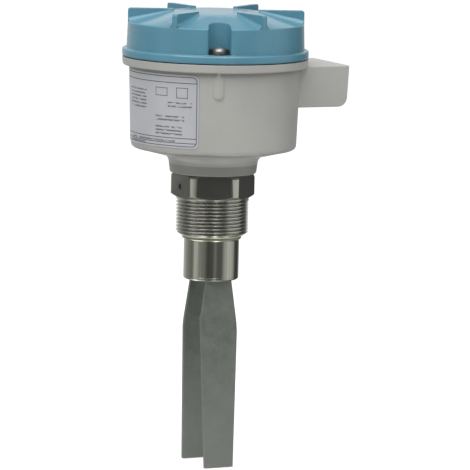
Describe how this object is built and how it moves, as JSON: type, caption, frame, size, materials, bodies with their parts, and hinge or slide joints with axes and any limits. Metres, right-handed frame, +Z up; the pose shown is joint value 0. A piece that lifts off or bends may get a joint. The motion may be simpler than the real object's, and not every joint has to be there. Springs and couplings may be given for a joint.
{
  "type": "tuning fork level switch",
  "caption": "Vibrating fork level switch: round cast enclosure with blue ribbed lid and side cable block, hexagon with pipe thread, short sensor tube and flat fork blades.",
  "frame": {"origin": "centre of the hexagon's lower face, where the process thread starts", "axes": "+Z up the axis towards the lid, -Y towards the front lid screw, so +X is to the right of the front"},
  "size_m": [0.1495, 0.1222, 0.3015],
  "materials": {
    "enclosure_paint": "smooth satin powder coat",
    "lid_paint": "smooth gloss paint",
    "stainless": "turned",
    "fork_steel": "matt blasted",
    "fastener_steel": "bright",
    "rubber": "matt",
    "plate_foil": "satin",
    "board_laminate": "solder resist",
    "terminal_plastic": "moulded",
    "component_plastic": "moulded",
    "light_plastic": "moulded",
    "lamp_lens": "clear red",
    "drive_ceramic": "fired ceramic",
    "contact_brass": "rolled"
  },
  "bodies": {
    "process": {"process_connection": "stainless", "neck_seal": "rubber", "retaining_ring": "fastener_steel", "stop_dowel": "fastener_steel", "sensor_tube": "stainless", "diaphragm": "stainless", "drive_stud": "fastener_steel", "drive_ring": "stainless", "pressure_plate": "stainless", "insulator_rings": "drive_ceramic", "piezo_rings": "drive_ceramic", "contact_plates": "contact_brass", "clamp_plate": "stainless", "clamp_nut": "fastener_steel"},
    "enclosure": {"housing": "enclosure_paint", "lid": "lid_paint", "lid_gasket": "rubber", "lid_screws": "fastener_steel", "screw_grommets": "rubber", "nameplate": "plate_foil", "stop_post": "fastener_steel", "sensor_lead": "rubber", "sensor_plug": "light_plastic", "circuit_board": "board_laminate", "board_screws": "fastener_steel", "terminal_block": "terminal_plastic", "terminal_screws": "fastener_steel", "relay": "component_plastic", "transformer": "component_plastic", "capacitor": "component_plastic", "signal_lamp": "lamp_lens", "mode_switch": "component_plastic", "sensitivity_switch": "component_plastic", "delay_trimmer": "component_plastic"},
    "front_blade": {"fork_blade_front": "fork_steel"},
    "rear_blade": {"fork_blade_rear": "fork_steel"},
    "mode_knob": {"mode_slider": "light_plastic"},
    "sensitivity_knob": {"sensitivity_slider": "light_plastic"},
    "delay_knob": {"delay_rotor": "light_plastic"}
  },
  "joints": [
    {"name": "enclosure_turn", "type": "hinge", "parent": "process", "child": "enclosure", "pos_m": [0, 0, 0.0223], "axis": [0, 0, 1], "range_deg": [-170, 170]},
    {"name": "front_flex", "type": "hinge", "parent": "process", "child": "front_blade", "pos_m": [0.00447, -0.01135, -0.0542], "axis": [0.9304, 0.3665, 0], "range_deg": [-0.25, 0.25], "stiffness_Nm_per_rad": 60},
    {"name": "rear_flex", "type": "hinge", "parent": "process", "child": "rear_blade", "pos_m": [-0.00447, 0.01135, -0.0542], "axis": [0.9304, 0.3665, 0], "range_deg": [-0.25, 0.25], "stiffness_Nm_per_rad": 60},
    {"name": "mode_slide", "type": "slide", "parent": "enclosure", "child": "mode_knob", "axis": [-0.3584, 0.9336, 0], "range_m": [0, 0.002]},
    {"name": "sensitivity_slide", "type": "slide", "parent": "enclosure", "child": "sensitivity_knob", "axis": [-0.3584, 0.9336, 0], "range_m": [0, 0.002]},
    {"name": "delay_turn", "type": "hinge", "parent": "enclosure", "child": "delay_knob", "pos_m": [0.00103, -0.01246, 0.0654], "axis": [0, 0, 1], "range_deg": [0, 270]}
  ],
  "couplings": [
    {"joint": "rear_flex", "follows": "front_flex", "ratio": -1}
  ]
}
